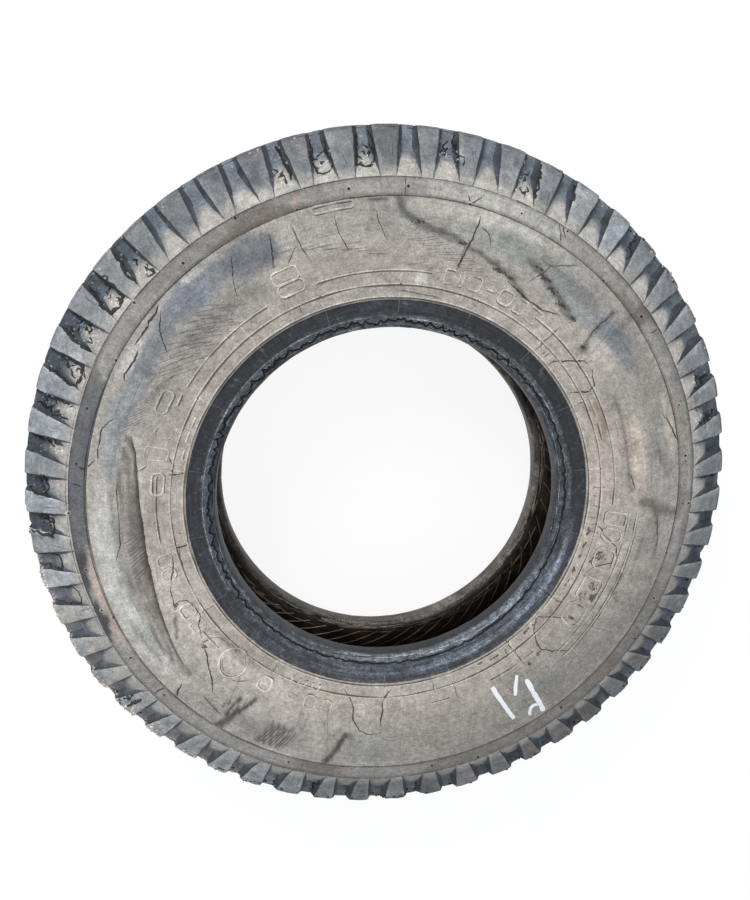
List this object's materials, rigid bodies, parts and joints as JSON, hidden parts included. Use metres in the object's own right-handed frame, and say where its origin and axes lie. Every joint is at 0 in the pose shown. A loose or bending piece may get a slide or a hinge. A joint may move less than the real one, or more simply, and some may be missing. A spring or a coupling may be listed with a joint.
{
  "type": "worn truck tyre",
  "caption": "Old cross-ply truck tyre off its rim, with a worn rib tread, notched shoulders, a creased and dusty sidewall and torn beads.",
  "frame": {"origin": "middle of the underside, on the wheel axis, at the face that the lower sidewall rests on", "axes": "+Z along the wheel axis, away from the floor; the creased sidewall faces +Z; +Y is the side from which notch angles are counted"},
  "size_m": [1.04, 1.04, 0.256],
  "materials": {
    "tyre": "perished rubber with dry dust, matte"
  },
  "bodies": {
    "root": {"tyre": "tyre"}
  },
  "joints": []
}
